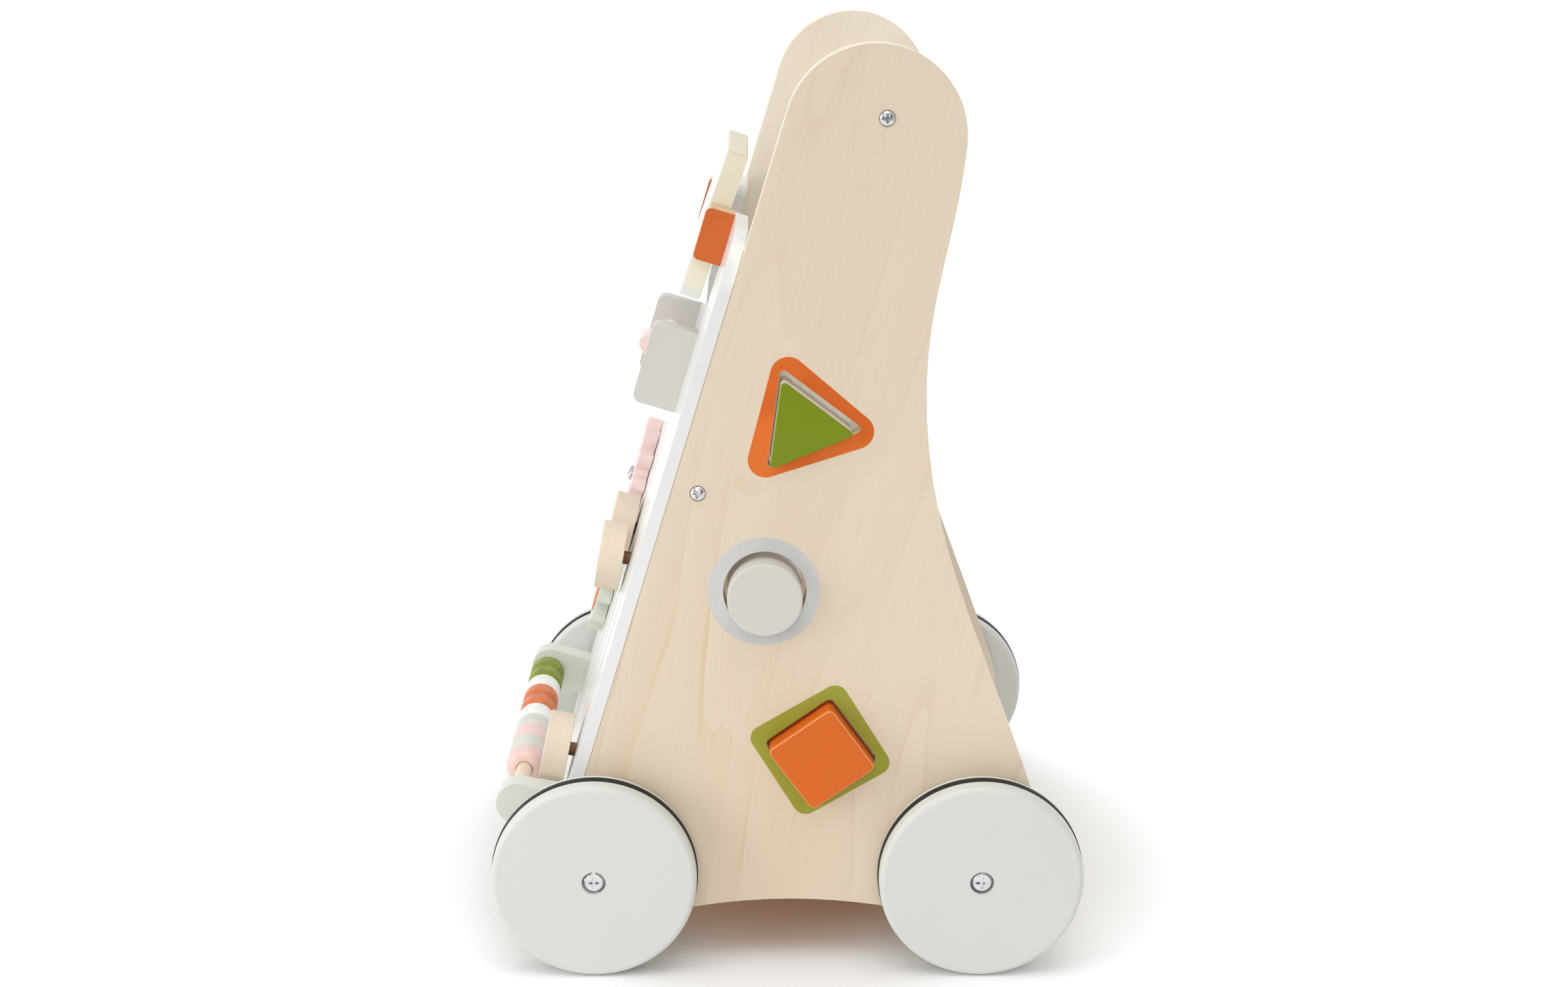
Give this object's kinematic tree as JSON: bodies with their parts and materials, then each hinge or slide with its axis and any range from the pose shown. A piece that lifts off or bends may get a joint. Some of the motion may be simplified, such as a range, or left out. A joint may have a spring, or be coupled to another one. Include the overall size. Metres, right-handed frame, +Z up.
{
  "type": "baby push walker",
  "caption": "Wooden baby push walker on rubber-ringed wheels, with a shape sorter in its side and a sloping front panel of gears, sliding knobs, beads, a roller and a flip board.",
  "frame": {"origin": "middle of the footprint, on the floor under the wheels", "axes": "+Z up, -Y forwards (the way the walker is pushed), +X to the side with the shape sorter"},
  "size_m": [0.29, 0.2986, 0.464],
  "materials": {
    "plywood": "clear satin lacquer",
    "raw_wood": "sanded, unpainted",
    "dark_wood": "stained",
    "white_paint": "gloss paint",
    "cream_paint": "satin paint",
    "grey_paint": "satin paint",
    "green_paint": "satin paint",
    "orange_paint": "satin paint",
    "pink_paint": "satin paint",
    "pale_green_paint": "satin paint",
    "chrome": "bright plated",
    "rubber": "matt"
  },
  "bodies": {
    "chassis": {"left_side_panel": "plywood", "right_side_panel": "plywood", "handle_bar": "raw_wood", "cross_rail": "raw_wood", "front_axle_beam": "raw_wood", "rear_axle_beam": "raw_wood", "base_board": "raw_wood", "base_screws": "chrome", "toy_panel": "white_paint", "toy_screws": "chrome", "panel_screws": "chrome", "wheel_bolts": "chrome", "wheel_spacers": "chrome", "flip_post_left": "orange_paint", "flip_post_right": "orange_paint", "flip_axle": "raw_wood", "roller_plate_left": "grey_paint", "roller_plate_right": "grey_paint", "roller_axle": "raw_wood", "gear_screws": "chrome", "gear_washers": "chrome", "abacus_bracket_left": "grey_paint", "abacus_bracket_right": "grey_paint", "abacus_rod": "raw_wood"},
    "wheel_front_left_body": {"wheel_front_left": "grey_paint", "tyre_front_left": "rubber"},
    "wheel_front_right_body": {"wheel_front_right": "grey_paint", "tyre_front_right": "rubber"},
    "wheel_rear_left_body": {"wheel_rear_left": "grey_paint", "tyre_rear_left": "rubber"},
    "wheel_rear_right_body": {"wheel_rear_right": "grey_paint", "tyre_rear_right": "rubber"},
    "flip_board_body": {"flip_board": "cream_paint"},
    "roller_body": {"lobed_roller": "pink_paint"},
    "green_gear_body": {"green_gear": "pale_green_paint", "gear_disc": "orange_paint"},
    "pink_gear_body": {"pink_gear": "pink_paint"},
    "knob_inner_body": {"knob_inner": "raw_wood", "knob_stem_inner": "dark_wood"},
    "knob_middle_body": {"knob_middle": "raw_wood", "knob_stem_middle": "dark_wood"},
    "knob_outer_body": {"knob_outer": "raw_wood", "knob_stem_outer": "dark_wood"},
    "bead_10_body": {"bead_10": "pink_paint"},
    "bead_9_body": {"bead_9": "grey_paint"},
    "bead_8_body": {"bead_8": "pink_paint"},
    "bead_7_body": {"bead_7": "grey_paint"},
    "bead_6_body": {"bead_6": "white_paint"},
    "bead_5_body": {"bead_5": "orange_paint"},
    "bead_4_body": {"bead_4": "orange_paint"},
    "bead_3_body": {"bead_3": "white_paint"},
    "bead_2_body": {"bead_2": "green_paint"},
    "bead_1_body": {"bead_1": "green_paint"},
    "triangle_block_body": {"triangle_block": "green_paint"},
    "round_block_body": {"round_block": "grey_paint"},
    "square_block_body": {"square_block": "orange_paint"}
  },
  "joints": [
    {"name": "wheel_front_left_spin", "type": "hinge", "parent": "chassis", "child": "wheel_front_left_body", "pos_m": [0.136, -0.0973, 0.052], "axis": [1, 0, 0], "continuous": true},
    {"name": "wheel_front_right_spin", "type": "hinge", "parent": "chassis", "child": "wheel_front_right_body", "pos_m": [-0.136, -0.0973, 0.052], "axis": [1, 0, 0], "continuous": true},
    {"name": "wheel_rear_left_spin", "type": "hinge", "parent": "chassis", "child": "wheel_rear_left_body", "pos_m": [0.136, 0.0973, 0.052], "axis": [1, 0, 0], "continuous": true},
    {"name": "wheel_rear_right_spin", "type": "hinge", "parent": "chassis", "child": "wheel_rear_right_body", "pos_m": [-0.136, 0.0973, 0.052], "axis": [1, 0, 0], "continuous": true},
    {"name": "flip_turn", "type": "hinge", "parent": "chassis", "child": "flip_board_body", "pos_m": [0, -0.03852, 0.367], "axis": [1, 0, 0], "continuous": true},
    {"name": "roller_turn", "type": "hinge", "parent": "chassis", "child": "roller_body", "pos_m": [0, -0.06567, 0.29516], "axis": [1, 0, 0], "continuous": true},
    {"name": "green_gear_turn", "type": "hinge", "parent": "chassis", "child": "green_gear_body", "pos_m": [-0.06802, -0.10002, 0.14703], "axis": [0, -0.9583, 0.2857], "continuous": true},
    {"name": "pink_gear_turn", "type": "hinge", "parent": "chassis", "child": "pink_gear_body", "pos_m": [-0.072, -0.08292, 0.2044], "axis": [0, -0.9583, 0.2857], "continuous": true},
    {"name": "knob_inner_slide", "type": "slide", "parent": "chassis", "child": "knob_inner_body", "axis": [0, 0.2857, 0.9583], "range_m": [-0.0975, 0]},
    {"name": "knob_middle_slide", "type": "slide", "parent": "chassis", "child": "knob_middle_body", "axis": [0, 0.2857, 0.9583], "range_m": [-0.0947, 0.0028]},
    {"name": "knob_outer_slide", "type": "slide", "parent": "chassis", "child": "knob_outer_body", "axis": [0, 0.2857, 0.9583], "range_m": [0, 0.0975]},
    {"name": "bead_10_slide", "type": "slide", "parent": "chassis", "child": "bead_10_body", "axis": [1, 0, 0], "range_m": [0, 0.032]},
    {"name": "bead_9_slide", "type": "slide", "parent": "chassis", "child": "bead_9_body", "axis": [1, 0, 0], "range_m": [0, 0.0288]},
    {"name": "bead_8_slide", "type": "slide", "parent": "chassis", "child": "bead_8_body", "axis": [1, 0, 0], "range_m": [0, 0.0256]},
    {"name": "bead_7_slide", "type": "slide", "parent": "chassis", "child": "bead_7_body", "axis": [1, 0, 0], "range_m": [0, 0.0224]},
    {"name": "bead_6_slide", "type": "slide", "parent": "chassis", "child": "bead_6_body", "axis": [1, 0, 0], "range_m": [0, 0.0192]},
    {"name": "bead_5_slide", "type": "slide", "parent": "chassis", "child": "bead_5_body", "axis": [1, 0, 0], "range_m": [0, 0.016]},
    {"name": "bead_4_slide", "type": "slide", "parent": "chassis", "child": "bead_4_body", "axis": [1, 0, 0], "range_m": [0, 0.0128]},
    {"name": "bead_3_slide", "type": "slide", "parent": "chassis", "child": "bead_3_body", "axis": [1, 0, 0], "range_m": [0, 0.0096]},
    {"name": "bead_2_slide", "type": "slide", "parent": "chassis", "child": "bead_2_body", "axis": [1, 0, 0], "range_m": [0, 0.0064]},
    {"name": "bead_1_slide", "type": "slide", "parent": "chassis", "child": "bead_1_body", "axis": [1, 0, 0], "range_m": [0, 0.0032]},
    {"name": "triangle_block_pull", "type": "slide", "parent": "chassis", "child": "triangle_block_body", "axis": [1, 0, 0], "range_m": [0, 0.045]},
    {"name": "round_block_pull", "type": "slide", "parent": "chassis", "child": "round_block_body", "axis": [1, 0, 0], "range_m": [0, 0.045]},
    {"name": "square_block_pull", "type": "slide", "parent": "chassis", "child": "square_block_body", "axis": [1, 0, 0], "range_m": [0, 0.045]}
  ],
  "couplings": [
    {"joint": "pink_gear_turn", "follows": "green_gear_turn", "ratio": -1},
    {"joint": "bead_9_slide", "follows": "bead_10_slide", "ratio": 0.9},
    {"joint": "bead_8_slide", "follows": "bead_10_slide", "ratio": 0.8},
    {"joint": "bead_7_slide", "follows": "bead_10_slide", "ratio": 0.7},
    {"joint": "bead_6_slide", "follows": "bead_10_slide", "ratio": 0.6},
    {"joint": "bead_5_slide", "follows": "bead_10_slide", "ratio": 0.5},
    {"joint": "bead_4_slide", "follows": "bead_10_slide", "ratio": 0.4},
    {"joint": "bead_3_slide", "follows": "bead_10_slide", "ratio": 0.3},
    {"joint": "bead_2_slide", "follows": "bead_10_slide", "ratio": 0.2},
    {"joint": "bead_1_slide", "follows": "bead_10_slide", "ratio": 0.1}
  ]
}
